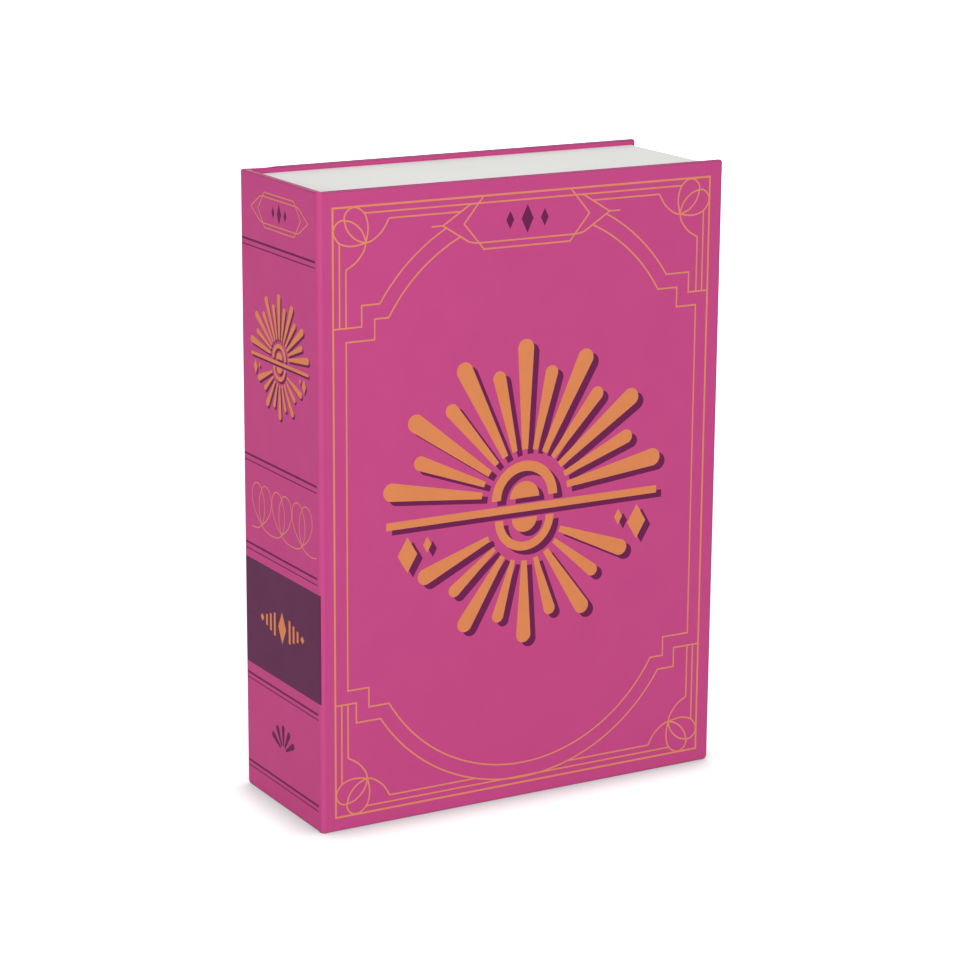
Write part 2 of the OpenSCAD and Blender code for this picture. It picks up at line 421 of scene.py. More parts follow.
def arc(centre, radius, start, end, chord=1.6, steps=None):
    """Points on an arc, from one angle to another in degrees, by chord length or by step count."""
    steps = steps or max(3, round(abs(math.radians(end - start)) * radius / chord))
    angles = [math.radians(start + (end - start) * i / steps) for i in range(steps + 1)]
    return [(centre[0] + radius * math.cos(a), centre[1] + radius * math.sin(a))
            for a in angles]


def petal(centre, angle, near, far, narrow, wide):
    """A bar that widens away from the centre and ends round."""
    r = wide / 2
    outline = [(near, -narrow / 2), (far - r, -r)]
    outline += arc((far - r, 0), r, -75, 75, r / 3)
    outline += [(far - r, r), (near, narrow / 2)]
    c = math.cos(math.radians(angle))
    s = math.sin(math.radians(angle))
    return [(centre[0] + x * c - y * s, centre[1] + x * s + y * c) for x, y in outline]


def lozenge(centre, half_w, half_h):
    """A diamond standing on its point."""
    u, v = centre
    return [(u - half_w, v), (u, v - half_h), (u + half_w, v), (u, v + half_h)]


def oblong(u0, v0, u1, v1):
    """A rectangle between two corners."""
    return [(u0, v0), (u1, v0), (u1, v1), (u0, v1)]


def moved(shapes, scale, du, dv):
    """Shapes scaled about the origin and then shifted."""
    return [[(x * scale + du, y * scale + dv) for x, y in shape] for shape in shapes]


print("an arc of a quarter turn, 10 mm in radius, has", len(arc((0, 0), 10, 0, 90)), "points")

# %% [markdown]
# ## Two ornaments that cover and spine share
# A pair of crossing loops fills each corner of the cover and makes the row on
# the spine, and a pointed field sits at the head of both. Each is drawn once
# about its own middle, then turned, scaled and moved. A pen line like that of
# the loops is smooth, so it is given by a dozen points, and a spline that
# runs through them all adds the points between.

# %% A pair of loops and a pointed field
FLOW_STEPS = 4
LOBE = [(0, 0), (3.0, 1.9), (5.4, 4.2), (7.2, 7.6), (7.1, 10.7), (6.0, 12.8), (3.9, 13.9),
        (1.4, 13.6), (0, 12.3), (-1.6, 9.5), (-2.1, 6.4), (-1.7, 3.2), (0, 0)]
TAIL = [(2.05, -1.3), (4.6, -1.9), (7.8, -2.05), (10.5, -1.5), (12.6, -0.85)]


def flowing(points):
    """A smooth line through the points, each stretch between two of them cut into a few steps."""
    line = []
    ends = [points[0]] + points + [points[-1]]
    for four in zip(ends, ends[1:], ends[2:], ends[3:]):
        for k in range(FLOW_STEPS):
            t = k / FLOW_STEPS
            line.append(tuple(b + (c - a) / 2 * t + (a - 2.5 * b + 2 * c - d / 2) * t ** 2
                              + (1.5 * (b - c) + (d - a) / 2) * t ** 3
                              for a, b, c, d in zip(*four)))
    return line + [points[-1]]


def loop_pair(left_tail, right_tail):
    """Two crossing loops like a penman's flourish, as lines (across, along) from where they cross."""
    line = flowing([(-x, y) for x, y in left_tail[::-1]] + LOBE + right_tail)
    lobe = line[len(left_tail) * FLOW_STEPS:(len(left_tail) + len(LOBE) - 1) * FLOW_STEPS + 1]
    return [line, [(-x, y) for x, y in lobe]]


def head_field(open_top):
    """A pointed field with a hexagon over it, drawn about its middle. With open_top it is open
    above, where it hangs from the rules, and has a tick at each of its two points."""
    point, bend, bulge = (36.2, 0), (25, 6.9), (23, 7.4)
    tick = (41, 0)
    flat = (20.5, 7.6)
    lower = [(-x, -y) for x, y in (point, bend, bulge, flat)]
    lower += [(x, -y) for x, y in (flat, bulge, bend, point)]
    hexagon = [(-27.2, 0), (-18.7, -10.1), (18.7, -10.1), (27.2, 0)]
    if not open_top:
        return [lower, [(x, -y) for x, y in lower],
                [(-18.7, 10.1)] + hexagon + [(18.7, 10.1), (-18.7, 10.1)]]
    lines = [lower]
    lines += [[(side * x, y) for x, y in (point, bend, bulge)] for side in (-1, 1)]
    lines += [[(side * x, y) for x, y in (point, tick)] for side in (-1, 1)]
    return lines + [[(-18.9, 9.9)] + hexagon + [(18.9, 9.9)]]


print("a loop has", len(flowing(LOBE)), "points")

# %% [markdown]
# ## The device
# The middle of the cover carries one large ornament: two fans of petals, back
# to back on a bar. Its shadow is the same shapes again in plum, printed first
# and moved a little to the right and down, as a printer would do it.

# %% The large device in the middle of the cover
def fan(centre, middle, step, count, near, far, narrow, wide):
    """Petals at equal steps to both sides of a middle angle."""
    side = (count - 1) / 2
    return [petal(centre, middle + step * (i - side), near, far, narrow, wide)
            for i in range(count)]


def half_ring(centre, inner, outer, start, end):
    """A band between two arcs, as one outline."""
    return arc(centre, outer, start, end) + arc(centre, inner, end, start)


def device():
    """Two fans back to back on a bar, drawn about the origin, 124 mm wide and 120 mm high."""
    up = (0, 4)
    down = (0, -4)
    shapes = fan(up, 90, 27, 7, 19, 62, 2.6, 7.0)
    shapes += fan(up, 90, 27, 6, 19, 52, 2.2, 5.6)
    shapes.append(half_ring(up, 10.5, 14.5, 0, 180))
    shapes.append(arc(up, 6.5, 0, 180))
    shapes.append(oblong(-60, -1.5, 60, 1.5))
    shapes += fan(down, 270, 34, 5, 17, 50, 2.4, 6.4)
    shapes += fan(down, 270, 34, 4, 17, 42, 2.0, 5.0)
    shapes.append(half_ring(down, 9.5, 13, 180, 360))
    shapes.append(arc(down, 5.6, 180, 360))
    for side in (-1, 1):
        shapes.append(lozenge((side * 51, -12), 4.2, 7))
        shapes.append(lozenge((side * 42.5, -9), 1.8, 3.2))
    return shapes


def inked_device(u, v, scale, shadow):
    """(ink, shape) for the device in orange over its plum shadow."""
    layers = ((PLUM, shadow), (ORANGE, (0, 0)))
    return [(ink, shape) for ink, (du, dv) in layers
            for shape in moved(device(), scale, u + du, v + dv)]


print("the device has", len(device()), "shapes")

# %% [markdown]
# ## The frame of the front cover
# A frame of rules runs round the cover, nearly 6 mm inside its edges. In each
# corner a pair of loops sits where the inner rules meet. Above or below it
# the rules step inwards and then swing over into a large arc, and a pointed
# field interrupts them at the head. One corner is drawn, measured from the
# corner of the outer rule, and mirrored to the other three. Its steps are
# wider in two of the corners, which lie diagonally across from each other.
# A step is given as its depth from the side rule and its two heights.

# %% The outer rule and the large arc
RULE_W = 0.75
LINE_W = 0.6
LEFT, RIGHT = 5.75, WIDTH - 5.8
LOW, HIGH = 5.6, HEIGHT - 6.2
MIDDLE = (LEFT + RIGHT) / 2
ARC_IN = 76.2


def from_corner(points, sx, sy):
    """Points measured inwards from a corner of the outer rule, put at one of the four corners."""
    return [((LEFT + a) if sx < 0 else (RIGHT - a), (LOW + b) if sy < 0 else (HIGH - b))
            for a, b in points]


def arc_from(radius, b, stop_a):
    """The large arc in corner measures, from its height b to the distance stop_a from the side rule."""
    half = MIDDLE - LEFT
    start = math.degrees(math.asin((b - ARC_IN) / radius))
    stop = -math.degrees(math.acos((half - stop_a) / radius))
    return arc((half, ARC_IN), radius, -180 - start, -180 - stop)


print("the frame lies", round(LEFT, 1), "mm from the spine and", round(LOW, 1), "mm from the tail")

# %% The lines of one corner
ARC_OUTER = 74.0
ARC_INNER = 68.0
ARC_STOPS = (34.7, 28.9)
LOOPS_IN = 13.5
SECOND_RULE = 2.65
THIRD_RULE = 5.3
SECOND_ENDS = 13.0
THIRD_ENDS = 23
HEAD_RULES = (2.6, 5.2)
HEAD_ENDS = (28.6, 20.9)
OUTER_STEP = (8.85, 44.5, 36.6)
INNER_STEP = (14.2, 49.8, 42.1)
HALF_WAY = 120


def corner_lines(at_head, step):
    """Thin lines of one corner; step is how much wider its steps are."""
    half = MIDDLE - LEFT
    out_a, out_b, out_low = OUTER_STEP
    in_a, in_b, in_low = INNER_STEP
    outer = arc_from(ARC_OUTER, out_low, half - ARC_STOPS[0] if at_head else half)
    inner = arc_from(ARC_INNER, in_low, half - ARC_STOPS[1] if at_head else half)
    lines = [[(0, out_b), (out_a + step, out_b), (out_a + step, out_low)] + outer,
             [(THIRD_RULE, HALF_WAY), (THIRD_RULE, in_b), (in_a + step, in_b),
              (in_a + step, in_low)] + inner]
    c = math.sqrt(0.5)
    for line in loop_pair(TAIL, TAIL):
        lines.append([(LOOPS_IN + (x - y) * c, LOOPS_IN - (x + y) * c) for x, y in line])
    lines += [[(SECOND_RULE, out_b), (SECOND_RULE, SECOND_ENDS)],
              [(THIRD_RULE, out_b), (THIRD_RULE, THIRD_ENDS)]]
    second, third = HEAD_RULES
    flat = half - HEAD_ENDS[0 if at_head else 1]
    lines += [[(SECOND_ENDS, second), (half, second)], [(THIRD_ENDS, third), (flat, third)]]
    return lines


print("one corner has", len(corner_lines(True, 0)), "lines")

# %% The whole print of the front cover
WIDER_STEP = 2.85
FIELD_DOWN = 9.9
LOZENGES = ((0, 2.6, 5.4), (-7.5, 1.7, 3.4), (7.5, 1.7, 3.4))
DEVICE_AT = (MIDDLE, 117, 1)
DEVICE_SHADOW = (2.4, -2.0)


def inked_lines(ink, lines, width):
    """(ink, shape) for lines of one width."""
    return [(ink, quad) for line in lines for quad in stroke(line, width)]


def inked_lozenges(u, v, sizes):
    """(ink, shape) for plum lozenges in a row; sizes holds how far from u each stands, and its half
    width and half height."""
    return [(PLUM, lozenge((u + du, v), half_w, half_h)) for du, half_w, half_h in sizes]


def front_print():
    """(ink, shape) from the bottom layer to the top one."""
    rule = oblong(LEFT, LOW, RIGHT, HIGH)
    drawn = [(PALE_ORANGE, quad) for quad in stroke(rule, RULE_W, True)]
    for sx in (-1, 1):
        for sy in (-1, 1):
            lines = corner_lines(sy > 0, 0 if sx == sy else WIDER_STEP)
            drawn += inked_lines(PALE_ORANGE, [from_corner(line, sx, sy) for line in lines], LINE_W)
    v = HIGH - FIELD_DOWN
    drawn += inked_lines(PALE_ORANGE, moved(head_field(True), 1, MIDDLE, v), LINE_W)
    drawn += inked_lozenges(MIDDLE, v, LOZENGES)
    return drawn + inked_device(*DEVICE_AT, DEVICE_SHADOW)


print("the front print has", len(front_print()), "shapes")

# %% [markdown]
# ## The fields of the spine
# The spine is divided by pairs of plum rules, a thick one and a thin one,
# which end just before the fold. Its fields repeat what the cover has at a
# smaller size: the pointed field at the head, the device and a row of loops.
# Below them are a dark panel, which runs on round the fold, and a small fan.
# Here u runs from the back edge to the fold and v up, and the places are
# given from the head down, as they are measured on the box. The three pairs
# of loops of the row share the curves between them, so their tails are short.

# %% Rules and ornaments of the spine
THICK_RULE = 0.9
THIN_RULE = 0.5
SPINE_LINE_W = 0.42
RULE_PAIRS = [(25.8, 28.0), (109.7, 112.1), (145.1, 147.5), (198.2, 200.3), (234.7, 236.8)]
PANEL = (HEIGHT - 193.7, HEIGHT - 151.0)
SPINE_MIDDLE = 32.0
SPINE_FIELD = (SPINE_MIDDLE + 0.9, HEIGHT - 12.7, 0.655)
SPINE_DEVICE = (SPINE_MIDDLE, HEIGHT - 69, 0.4)
SPINE_SHADOW = (1.0, -0.8)
LOOP_ROW = (SPINE_MIDDLE + 0.6, HEIGHT - 135.4, 1.14)
LOOP_PITCH = 17.2
TAIL_FAN = (SPINE_MIDDLE, HEIGHT - 222.5)
RULE_GAP = 0.9
SMALL_LOZENGES = ((0, 1.8, 4.0), (-5, 1.2, 2.4), (5, 1.2, 2.4))
PANEL_LOZENGE = (3.4, 6.4)
BAR_HALF_W = 0.8
BAR_HALF_HEIGHTS = (4.6, 3.4, 2.2)
FIRST_BAR = 6.4
BAR_PITCH = 3.4
END_LOZENGE = (17.2, 1.6)


def spine_print(u_start, u_fold):
    """(ink, shape) from the bottom layer to the top one."""
    drawn = []
    for thick, thin in RULE_PAIRS:
        for down, width in ((thick, THICK_RULE), (thin, THIN_RULE)):
            line = [(u_start, HEIGHT - down), (u_fold - RULE_GAP, HEIGHT - down)]
            drawn += inked_lines(PLUM, [line], width)
    drawn.append((DARK_PLUM, oblong(u_start, PANEL[0], u_fold, PANEL[1])))
    u, v, scale = SPINE_FIELD
    drawn += inked_lines(PALE_ORANGE, moved(head_field(False), scale, u, v), SPINE_LINE_W)
    drawn += inked_lozenges(u, v, SMALL_LOZENGES)
    drawn += inked_device(*SPINE_DEVICE, SPINE_SHADOW)
    u, v, scale = LOOP_ROW
    for i in (-1, 0, 1):
        loops = loop_pair(TAIL[:3], TAIL[:4] if i == 1 else TAIL[:3])
        drawn += inked_lines(PALE_ORANGE, moved(loops, scale, u + LOOP_PITCH * i, v), SPINE_LINE_W)
    v = sum(PANEL) / 2
    drawn.append((ORANGE, lozenge((SPINE_MIDDLE, v), *PANEL_LOZENGE)))
    out, half = END_LOZENGE
    for side in (-1, 1):
        for i, half_h in enumerate(BAR_HALF_HEIGHTS):
            u = SPINE_MIDDLE + side * (FIRST_BAR + BAR_PITCH * i)
            drawn.append((ORANGE, oblong(u - BAR_HALF_W, v - half_h, u + BAR_HALF_W, v + half_h)))
        drawn.append((ORANGE, lozenge((SPINE_MIDDLE + side * out, v), half, half)))
    drawn += [(PLUM, shape) for shape in fan(TAIL_FAN, 90, 30, 5, 2.6, 11, 1.0, 2.6)]
    return drawn


print("the spine has", len(RULE_PAIRS), "pairs of rules")
print("its panel is", round(PANEL[1] - PANEL[0], 1), "mm high")

# %% [markdown]
# ## Cutting the print into the face
# A constrained triangulation takes the outline of the face and all the shapes
# at once and returns triangles that never cross an outline. Each triangle
# knows which shapes it lies in, and takes the ink of the topmost one. The
# face stays one flat plane, so the print has no thickness, like real ink.

# %% Triangulate a printed face
INSIDE_ONLY = 1
CLOSE_MM = 1e-6


def inked_face(outline, drawn):
    """(points, triangles, inks) of a flat face with shapes printed on it."""
    points = []
    faces = []
    for shape in [outline] + [shape for _, shape in drawn]:
        faces.append(list(range(len(points), len(points) + len(shape))))
        points += [Vector((p[0], p[1])) for p in shape]
    inks = [PINK] + [ink for ink, _ in drawn]
    cut = delaunay_2d_cdt(points, [], faces, INSIDE_ONLY, CLOSE_MM, True)
    flat, triangles, owners = cut[0], cut[2], cut[5]
    kept = [(t, max(o)) for t, o in zip(triangles, owners) if 0 in o]
    return flat, [list(t) for t, _ in kept], [inks[top] for _, top in kept]


cut_square = inked_face(oblong(0, 0, 4, 4), [(PLUM, lozenge((2, 2), 1, 1))])
print("a square with a diamond on it is cut into", len(cut_square[1]), "triangles")

# %% [markdown]
# ## Paper folded over a board
# At its edges the sheet folds over the board and is turned in behind it. Seen
# from the side that is an outer round, a narrow flat as thick as the board,
# an inner round, and the turn-in. These are rings round the printed face: each
# ring is the same outline moved inwards by some amount and down by another.
# The round is 0.8 mm, what pasted paper makes over a board 2 mm thick. It is
# small, but it turns from light to shade and so outlines every edge; its ink
# is darkened there too, as painted shade.

# %% The rings of a folded edge
EDGE_R = 0.8
ROUND_STEPS = 5
QUARTER = [math.pi / 2 * i / ROUND_STEPS for i in range(ROUND_STEPS + 1)]
CORNER_STEPS = 6
TURN_IN = 14.0
HEAD_CORNER_R = 1.0
TAIL_CORNER_R = 2.0
SHARPEST_R = 0.05


def bend_wear_and_shade(a):
    """Wear and painted shade of a quarter bend at the angle a: most in its middle and none at its ends.
    """
    return math.sin(2 * a)


def edge_profile(thick):
    """(inset, depth, bend value) of each ring after the face, from the outer round to the turn-in.
    The bend value sets how worn the ring is and how much painted shade it gets.
    """
    rings = [(EDGE_R * (1 - math.sin(a)), EDGE_R * (1 - math.cos(a)), bend_wear_and_shade(a))
             for a in QUARTER[1:]]
    rings += [(EDGE_R * (1 - math.cos(a)), thick - EDGE_R * (1 - math.sin(a)), bend_wear_and_shade(a))
              for a in QUARTER]
    return rings + [(TURN_IN, thick, 0.0)]


def sheet_outline(low, high, tail_r, head_r, steps=CORNER_STEPS):
    """Outline of a sheet between two corners: straight at the spine side, and rounded at its tail
    and its head corner at the fore edge."""
    (u0, v0), (u1, v1) = low, high
    tail = arc((u1 - tail_r, v0 + tail_r), tail_r, -90, 0, steps=steps)
    head = arc((u1 - head_r, v1 - head_r), head_r, 0, 90, steps=steps)
    return [(u0, v0)] + tail + head + [(u0, v1)]


def cover_outline(u0, inset):
    """Outline of a cover, moved inwards on all sides but the spine's."""
    return sheet_outline((u0, inset), (WIDTH - inset, HEIGHT - inset),
                         max(TAIL_CORNER_R - inset, SHARPEST_R), max(HEAD_CORNER_R - inset, SHARPEST_R))


print("a folded edge has", len(edge_profile(2.4)), "rings")

# %% Wrap a cover in its paper
def wrapped_cover(name, u0, thick, drawn, to_xyz, flip):
    """A cover's paper: printed face, edges bent round the board on three sides, and turn-ins; the
    bends are worn and darkened with painted shade. to_xyz puts a point of the face and its depth
    into the frame, and flip turns the faces round."""
    face_line = cover_outline(u0, EDGE_R)
    flat, faces, inks = inked_face(face_line, drawn)
    points = [to_xyz(p.x, p.y, 0) for p in flat]
    wear_and_shade = [0.0] * len(points)
    smooth = [False] * len(faces)
    near = {(round(p.x, 3), round(p.y, 3)): number for number, p in enumerate(flat)}
    ring = [near[(round(u, 3), round(v, 3))] for u, v in face_line]
    tail_end, head_end = [ring[0]], [ring[-1]]
    # rubbed is each ring's bend value, which sets both its wear and its painted shade.
    for inset, depth, rubbed in edge_profile(thick):
        line = cover_outline(u0, inset)
        new = list(range(len(points), len(points) + len(line)))
        points += [to_xyz(u, v, depth) for u, v in line]
        wear_and_shade += [rubbed] * len(line)
        quads = [[ring[i + 1], ring[i], new[i], new[i + 1]] for i in range(len(line) - 1)]
        faces += quads
        inks += [PINK] * len(quads)
        smooth += [inset < TURN_IN] * len(quads)
        ring = new
        tail_end.append(new[0])
        head_end.append(new[-1])
    faces += [tail_end[::-1], head_end]
    inks += [PINK, PINK]
    smooth += [False, False]
    if flip:
        faces = [f[::-1] for f in faces]
    return make_piece(name, points, faces, PRINT, inks, smooth, wear_and_shade)


print("a cover's outline has", len(cover_outline(0, EDGE_R)), "points")

# %% [markdown]
# ## The papers of the two covers
# The front paper carries the print and starts at the fold, a hair under the
# hinge strip, so that no gap shows. The back paper is plain. Both come from
# the same function: only the place of a point of the face in the frame is
# different, and the back face is turned round so that it looks outwards.

# %% The front cover's paper
LAP = 0.03


def front_place(u, v, depth):
    """Face coordinates of the front cover to the frame, in mm."""
    return (X_SPINE + u, Y_FRONT + depth, v)


front_paper = wrapped_cover("front_cover_paper", FOLD_R - LAP, front_high.y - front_low.y,
                            front_print(), front_place, False)
place(front_paper, "front_cover", "printed_paper", "front_wrap")

# %% The back cover's paper
def back_place(u, v, depth):
    """The same for the back cover, whose face looks the other way."""
    return (X_SPINE + u, Y_BACK - depth, v)


back_paper = wrapped_cover("back_cover_paper", back_low.x - X_SPINE, back_high.y - back_low.y,
                           [], back_place, True)
place(back_paper, "box", "printed_paper", "back_wrap")

# %% [markdown]
# ## Spine and joint from one sheet
# The paper of the spine runs round the back corner and dips into the joint,
# the soft channel beside the spine that lets a book open. One sheet follows
# that path: the printed flat of the spine first, and then columns of points
# round the corner, over the lip, through the trough and up to the back board.
# Each column knows the point on the inside that it folds over to at head and
# tail, so that the joint, where there is no board, gets a thin edge. Beside
# the fold the spine board ends and the sheet is thin as well.

# %% The path of the sheet, seen from above
TRAY_BACK = back_low.y
TRAY_X = spine_high.x
BOARD_END = board_low.y - 0.32
THIN_STEP = 0.1
LIP_R = 1.5
CORNER_CHORD = 0.12
LIP_CHORD = 0.2
TROUGH_CHORD = 0.6
dip_depth = Y_BACK - back_low.y - 2 * PAPER
dip_left = joint_low.x
dip_right = joint_high.x
dip_half = (dip_right - dip_left) / 2
dip_x = (dip_left + dip_right) / 2
trough_r = (dip_half ** 2 + dip_depth ** 2) / (2 * dip_depth) - LIP_R
dip_angle = math.degrees(math.asin(dip_half / (trough_r + LIP_R)))


def joint_path():
    """(x, y) of the sheet's outer side after the flat of the spine."""
    corner = arc((X_SPINE + EDGE_R, Y_BACK - EDGE_R), EDGE_R, 180, 90, CORNER_CHORD)
    lip_in = arc((dip_left, Y_BACK - LIP_R), LIP_R, 90, 90 - dip_angle, LIP_CHORD)
    trough = arc((dip_x, Y_BACK - dip_depth + trough_r), trough_r,
                 -90 - dip_angle, -90 + dip_angle, TROUGH_CHORD)
    lip_out = arc((dip_right, Y_BACK - LIP_R), LIP_R, 90 + dip_angle, 90, LIP_CHORD)
    return corner[1:] + lip_in + trough[1:] + lip_out[1:]


def inside_of(x, y):
    """The point on the inner side that a point of the path folds over to."""
    if x < X_SPINE + EDGE_R / 2 and y < BOARD_END:
        return (x + 2 * PAPER, y)
    if x < X_SPINE + EDGE_R / 2 and y < TRAY_BACK:
        return (TRAY_X, y)
    return (max(x, TRAY_X), TRAY_BACK)


print("the dip is", round(2 * dip_half, 1), "mm wide and", round(dip_depth, 1), "mm deep")

# %% Build the sheet of spine and joint
HEEL_R = 2.4
HEEL_STEPS = 6
HEEL_ROWS = (7.0, 5.0, 3.5, 2.4, 1.4)
SAME_MM = 1e-4


def band(a, b):
    """Four-sided faces between two rows of point numbers."""
    return [list(quad) for quad in zip(a, a[1:], b[1:], b)]


u_back = EDGE_R
u_fold = DEPTH - FOLD_R
u_thick = Y_BACK - (BOARD_END + THIN_STEP)
u_thin = Y_BACK - (BOARD_END - THIN_STEP)
tail_us = [u_back] + [HEEL_R * k / HEEL_STEPS for k in range(2, HEEL_STEPS + 1)]
tail_us += [u_thick, u_thin, u_fold]
spine_line = [(u, EDGE_R) for u in tail_us]
spine_line += [(u, HEIGHT - EDGE_R) for u in (u_fold, u_thin, u_thick, u_back)]
spine_line += [(u_back, v) for v in HEEL_ROWS]
flat, sheet_faces, sheet_inks = inked_face(spine_line, spine_print(u_back, u_fold))
sheet = [(X_SPINE, Y_BACK - p.x, p.y) for p in flat]
sheet_wear_and_shade = [0.0] * len(sheet)
sheet_smooth = [False] * len(sheet_faces)
back_side = sorted([i for i, p in enumerate(flat) if abs(p.x - u_back) < SAME_MM],
                   key=lambda i: flat[i].y)
columns = [back_side]
for x, y in joint_path():
    column = list(range(len(sheet), len(sheet) + len(back_side)))
    sheet += [(x, y, sheet[i][2]) for i in back_side]
    # Both are above 0 only in the round of the corner, so the joint has neither wear nor painted shade.
    off_x = max(X_SPINE + EDGE_R - x, 0.0)
    off_y = max(y - (Y_BACK - EDGE_R), 0.0)
    sheet_wear_and_shade += [2 * off_x * off_y / EDGE_R ** 2] * len(column)
    for quad in band(columns[-1], column):
        sheet_faces.append(quad)
        middle_z = (sheet[quad[0]][2] + sheet[quad[1]][2]) / 2
        on_panel = PANEL[0] < middle_z < PANEL[1] and x < X_SPINE + EDGE_R + 0.01
        sheet_inks.append(DARK_PLUM if on_panel else PINK)
        sheet_smooth.append(True)
    columns.append(column)
print("spine face", len(flat), "points,", len(columns), "columns in the joint")

# %% Fold the sheet over at head and tail
TURN_IN_SEEN = 3.5
MOST_OF_HALF = 0.45


def folded_edge(start, top):
    """Rows from the ends of the columns over the board to the inside, at head or tail."""
    row = start
    inner = [inside_of(sheet[i][0], sheet[i][1]) for i in start]
    spans = [math.hypot(b[0] - sheet[i][0], b[1] - sheet[i][1]) for i, b in zip(start, inner)]
    outer = [(sheet[i][0], sheet[i][1]) for i in start]
    steps = [("out", a) for a in QUARTER[1:]] + [("in", a) for a in QUARTER] + [("end", 0)]
    for kind, a in steps:
        new = list(range(len(sheet), len(sheet) + len(row)))
        for o, n, span in zip(outer, inner, spans):
            r = min(EDGE_R, MOST_OF_HALF * span)
            if kind == "out":
                along, up = r * (1 - math.cos(a)), HEIGHT - r + r * math.sin(a)
            elif kind == "in":
                along, up = span - r * (1 - math.sin(a)), HEIGHT - r * (1 - math.cos(a))
            else:
                along, up = span, HEIGHT - TURN_IN_SEEN
            t = along / span
            sheet.append((o[0] + (n[0] - o[0]) * t, o[1] + (n[1] - o[1]) * t,
                          up if top else HEIGHT - up))
        # Each bent row gets its bend value, for wear and for painted shade; the turn-in gets none.
        sheet_wear_and_shade.extend([0.0 if kind == "end" else bend_wear_and_shade(a)] * len(new))
        quads = band(row, new)
        sheet_faces.extend([quad[::-1] for quad in quads] if top else quads)
        sheet_inks.extend([PINK] * len(quads))
        sheet_smooth.extend([kind != "end"] * len(quads))
        row = new


def edge_row(v, end):
    """Point numbers along head or tail, from the fold round to the back board."""
    on_face = sorted([i for i, p in enumerate(flat) if abs(p.y - v) < SAME_MM],
                     key=lambda i: -flat[i].x)
    return on_face + [column[end] for column in columns[1:]]


folded_edge(edge_row(HEIGHT - EDGE_R, -1), True)
folded_edge(edge_row(EDGE_R, 0), False)

print("the sheet has", len(sheet), "points with its folded edges")

# %% [markdown]
# ## The rounded heel
# The lower back corner of the spine is knocked round, as on any box that is
# set down on it many times. The sheet is already whole, so its points near
# that corner are simply lifted: most at the corner itself, and less the
# higher they are and the further into the joint.

# %% Knock the heel round and make the piece
FADE_MM = 3


def heel_lift(x, y, z):
    """How far a point near the back corner at the tail is lifted by the rounded heel."""
    over = max(y - (Y_BACK - HEEL_R), 0.0)
    lift = HEEL_R - math.sqrt(max(HEEL_R ** 2 - over ** 2, 0.0))
    fade_x = min(max((dip_x - x) / FADE_MM, 0.0), 1.0)
    return lift * fade_x * max(1 - z / HEEL_ROWS[0], 0.0)


sheet = [(x, y, z + heel_lift(x, y, z)) for x, y, z in sheet]
spine_paper = make_piece("spine_and_joint_paper", sheet, sheet_faces, PRINT, sheet_inks,
                         sheet_smooth, sheet_wear_and_shade)
place(spine_paper, "box", "printed_paper", "spine_wrap", "back_joint_paper")

# %% [markdown]
# ## The paper hinge
# Over the front corner the same paper bends round a 2 mm radius and works as
# the hinge: there is no pin. On the box one end of it stays with the spine and
# the other goes with the lid; here it is a strip of its own. The strip has the
# thickness of the paper and its lining, and at head and tail the paper is
# turned in and makes a small roll, which is thicker.

# %% Build the hinge strip
LINING = len(PRINT)
HINGE_T = 2 * PAPER
HINGE_STEPS = 20
PANEL_WRAP = 8
ROLL_T = 1.4
ROLL_END = 2.4
ROLL = [(0.0, 0.25), (0.07, 0.1), (0.18, 0.02), (0.35, 0.0), (1.4, 0.0)]


def hinge_strip():
    """Outer and inner skin of the bend as one closed strip. It is a stack of rows, each with its
    height, how far its outer skin lies inside the bend, and the same for its inner skin."""
    centre = (X_SPINE + FOLD_R, Y_FRONT + FOLD_R)
    tail = [(z, inset, ROLL_T - inset) for z, inset in ROLL] + [(ROLL_END, 0.0, HINGE_T)]
    head = [(HEIGHT - z, inset, inner) for z, inset, inner in tail[::-1]]
    panel = [(PANEL[0], 0.0, HINGE_T), (PANEL[1], 0.0, HINGE_T)]
    points, faces, inks, smooth, rows = [], [], [], [], []
    for z, inset, inner in tail + panel + head:
        out = arc(centre, FOLD_R - inset, 180, 270, steps=HINGE_STEPS)
        back = arc(centre, FOLD_R - inner, 270, 180, steps=HINGE_STEPS)
        rows.append(list(range(len(points), len(points) + len(out + back))))
        points += [(x, y, z) for x, y in out + back]
    around = len(rows[0])
    half = around // 2
    for low, (a, b) in enumerate(zip(rows, rows[1:])):
        in_roll = low < len(tail) - 1 or low >= len(rows) - len(head)
        faces += band(a + a[:1], b + b[:1])
        for i in range(around):
            outside = i < half - 1
            on_panel = outside and low == len(tail) and i < PANEL_WRAP
            inks.append(DARK_PLUM if on_panel else PINK if outside or in_roll else LINING)
            smooth.append(i not in (half - 1, around - 1))
    low_end, high_end = [band(row[:half], row[:half - 1:-1]) for row in (rows[0], rows[-1])]
    faces += [quad[::-1] for quad in low_end] + high_end
    inks += [PINK] * 2 * (half - 1)
    smooth += [False] * 2 * (half - 1)
    return points, faces, inks, smooth


hinge_points, hinge_faces, hinge_inks, hinge_smooth = hinge_strip()
print("hinge strip", len(hinge_points), "points")

# %% Make the hinge strip and hide the CAD hinge paper
hinge = make_piece("hinge_paper_strip", hinge_points, hinge_faces, PRINT + [lining_paper],
                   hinge_inks, hinge_smooth)
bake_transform(hinge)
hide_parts("hinge_paper")

# %% [markdown]
# ## The page sheet
# White paper goes round head, fore edge and tail of the tray and over its
# rim. On the object its long corners are crisp, but paper never breaks
# sharply, so they are rounded by half a millimetre. The sheet is a set of
# rings again, this time round the tray's rim: two for the walls, a few for
# the round, and two for the rim and its edge. Beside the spine there is
# hardly any round, because the sheet ends there.

